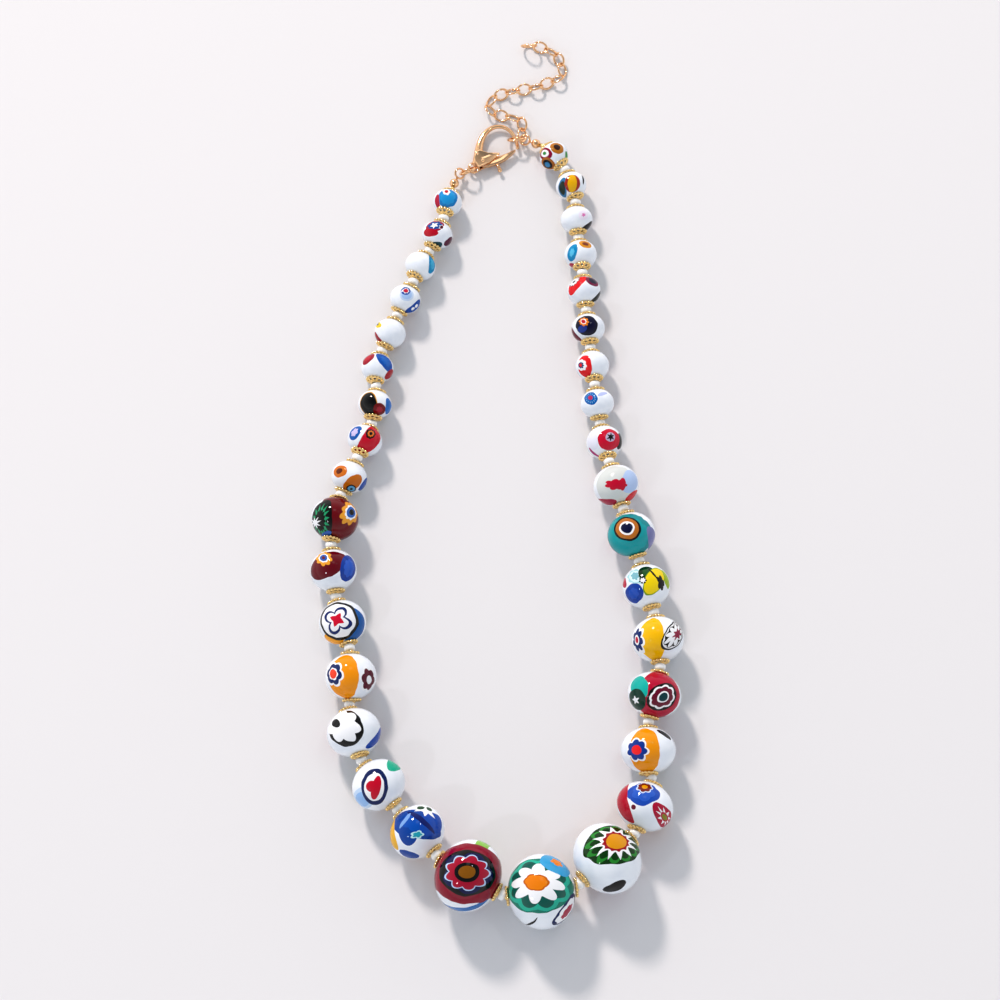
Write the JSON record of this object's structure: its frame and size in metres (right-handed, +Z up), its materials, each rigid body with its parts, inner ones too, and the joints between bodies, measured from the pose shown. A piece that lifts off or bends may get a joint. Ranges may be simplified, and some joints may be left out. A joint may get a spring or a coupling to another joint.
{
  "type": "beaded necklace",
  "caption": "Strand of graduated round glass beads with flower-cane patterns, bead caps and seed beads between them, a lobster clasp and an extender chain, lying in a long loop.",
  "frame": {"origin": "middle of the necklace's box, on the surface it lies on", "axes": "+Z up from the surface, +Y from the large centre bead towards the clasp and extender chain, +X to the right of the strands seen from above with the clasp at the top"},
  "size_m": [0.0938, 0.2402, 0.0181],
  "materials": {
    "opaque_glass": "glossy opaque white glass with coloured cane slices",
    "gold_plate": "polished gold plate"
  },
  "bodies": {
    "necklace": {"bead_left_01": "opaque_glass", "bead_left_02": "opaque_glass", "bead_left_03": "opaque_glass", "bead_left_04": "opaque_glass", "bead_left_05": "opaque_glass", "bead_left_06": "opaque_glass", "bead_left_07": "opaque_glass", "bead_left_08": "opaque_glass", "bead_left_09": "opaque_glass", "bead_left_10": "opaque_glass", "bead_left_11": "opaque_glass", "bead_left_12": "opaque_glass", "bead_left_13": "opaque_glass", "bead_left_14": "opaque_glass", "bead_left_15": "opaque_glass", "bead_left_16": "opaque_glass", "bead_left_17": "opaque_glass", "bead_centre": "opaque_glass", "bead_right_01": "opaque_glass", "bead_right_02": "opaque_glass", "bead_right_03": "opaque_glass", "bead_right_04": "opaque_glass", "bead_right_05": "opaque_glass", "bead_right_06": "opaque_glass", "bead_right_07": "opaque_glass", "bead_right_08": "opaque_glass", "bead_right_09": "opaque_glass", "bead_right_10": "opaque_glass", "bead_right_11": "opaque_glass", "bead_right_12": "opaque_glass", "bead_right_13": "opaque_glass", "bead_right_14": "opaque_glass", "bead_right_15": "opaque_glass", "bead_right_16": "opaque_glass", "bead_right_17": "opaque_glass", "string_left": "gold_plate", "string_right": "gold_plate", "end_bead_left": "gold_plate", "end_bead_right": "gold_plate", "jump_ring_left": "gold_plate", "jump_ring_right": "gold_plate", "clasp_frame": "gold_plate", "extender_chain": "gold_plate"},
    "lever": {"clasp_lever": "gold_plate"}
  },
  "joints": [
    {"name": "clasp_lever_hinge", "type": "hinge", "parent": "necklace", "child": "lever", "pos_m": [-0.00356, 0.08453, 0.0014], "axis": [0, 0, 1], "range_deg": [0, 15], "stiffness_Nm_per_rad": 0.0005}
  ]
}
